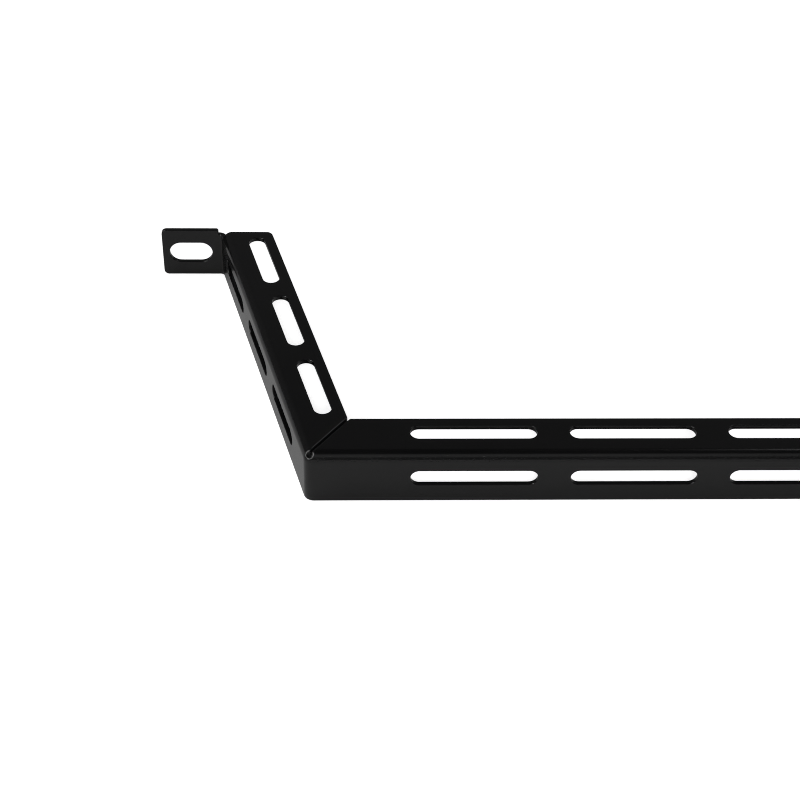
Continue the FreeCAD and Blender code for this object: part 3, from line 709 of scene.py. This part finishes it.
links.new(nodes.new("ShaderNodeBsdfTransparent").outputs["BSDF"], sided.inputs[2])
links.new(sided.outputs["Shader"], nodes["Material Output"].inputs["Surface"])
floor.data.materials.append(pale_sheet)

# The room is dim and darkest overhead, so that the coat stays black, and white where the camera looks
# past the floor. Its tones are greys at heights of the sky, from the horizon at 0 to straight up at 1.
ROOM_TONES = ((0, 0.10), (0.35, 0.10), (0.55, 0.12), (0.70, 0.07), (0.85, 0.025), (1, 0.015))
ROOM_WHITE = (1, 1, 1, 1)
world = bpy.data.worlds.new("studio_room")
world.use_nodes = True
nodes = world.node_tree.nodes
links = world.node_tree.links
height = nodes.new("ShaderNodeSeparateXYZ")
links.new(nodes.new("ShaderNodeTexCoord").outputs["Generated"], height.inputs["Vector"])
tones = nodes.new("ShaderNodeValToRGB")
stops = tones.color_ramp.elements
while len(stops) < len(ROOM_TONES):
    stops.new(1)
for stop, (share, grey) in zip(stops, ROOM_TONES):
    stop.position = share
    stop.color = (grey, grey, grey, 1)
links.new(height.outputs["Z"], tones.inputs["Fac"])
dim = nodes["Background"]
links.new(tones.outputs["Color"], dim.inputs["Color"])
white = nodes.new("ShaderNodeBackground")
white.inputs["Color"].default_value = ROOM_WHITE
seen = nodes.new("ShaderNodeMixShader")
links.new(nodes.new("ShaderNodeLightPath").outputs["Is Camera Ray"], seen.inputs["Fac"])
links.new(dim.outputs["Background"], seen.inputs[1])
links.new(white.outputs["Background"], seen.inputs[2])
links.new(seen.outputs["Shader"], nodes["World Output"].inputs["Surface"])
bpy.context.scene.world = world

# The camera stands in front of the left corner, above the rail, as in the picture, so the right end is
# out of view. Its place is in metres, its turns in radians, and its lens and sensor in millimetres.
EYE = Vector((-0.1864417, -0.4268095, 0.3108601))
TILT = 0.7179247
YAW = 0.0475721
ROLL = -0.0301356
SENSOR = 36
LENS = 75.651
NEAREST = 0.01
PIXEL_BLUR = 1.0
camera = bpy.data.objects.new("camera", bpy.data.cameras.new("camera"))
camera.data.sensor_width = SENSOR
camera.data.lens = LENS
camera.data.clip_start = NEAREST
camera.matrix_world = (
    Matrix.Translation(EYE)
    @ Matrix.Rotation(-YAW, 4, "Z")
    @ Matrix.Rotation(np.pi / 2 - TILT, 4, "X")
    @ Matrix.Rotation(-ROLL, 4, "Z")
)
bpy.context.scene.collection.objects.link(camera)
bpy.context.scene.camera = camera
bpy.context.scene.view_settings.view_transform = "Standard"
bpy.context.scene.cycles.use_denoising = True
bpy.context.scene.cycles.filter_width = PIXEL_BLUR

# The light is a soft box behind the camera and a wide one overhead, which the coat doesn't mirror. Three
# cards are there for the coat to mirror: a dim one in front, a small one high at the left, which draws
# the hole's rim, and one behind at the right, which draws the seam's lip. All sizes are in metres.
CORNER = Vector((-CORNER_X, FRONT, 0)) * MM


def softbox(name, middle, width, height, bright, mirrored):
    """A soft rectangular light that faces the corner. Its power is its brightness times its area times pi.
    Either the coat mirrors it, or it lights the floor and the coat's own black."""
    light = bpy.data.lights.new(name, "AREA")
    light.shape = "RECTANGLE"
    light.size = width
    light.size_y = height
    light.energy = bright * width * height * np.pi
    box = bpy.data.objects.new(name, light)
    box.location = middle
    box.rotation_euler = (CORNER - box.location).to_track_quat("-Z", "Y").to_euler()
    box.visible_glossy = mirrored
    box.visible_diffuse = not mirrored
    bpy.context.scene.collection.objects.link(box)


softbox("key", (-0.175, -0.86, 0.66), width=0.14, height=0.14, bright=85, mirrored=False)
softbox("overhead", (-0.9, 0.5, 1.3), width=1.2, height=1.2, bright=1.9, mirrored=False)
softbox("front_card", (-0.2, -0.95, 0.95), width=1.3, height=0.75, bright=0.3, mirrored=True)
softbox("left_card", (-1.03, -0.36, 0.86), width=0.55, height=0.4, bright=11, mirrored=True)
softbox("back_card", (0.43, 0.27, 0.95), width=0.35, height=0.35, bright=2.2, mirrored=True)
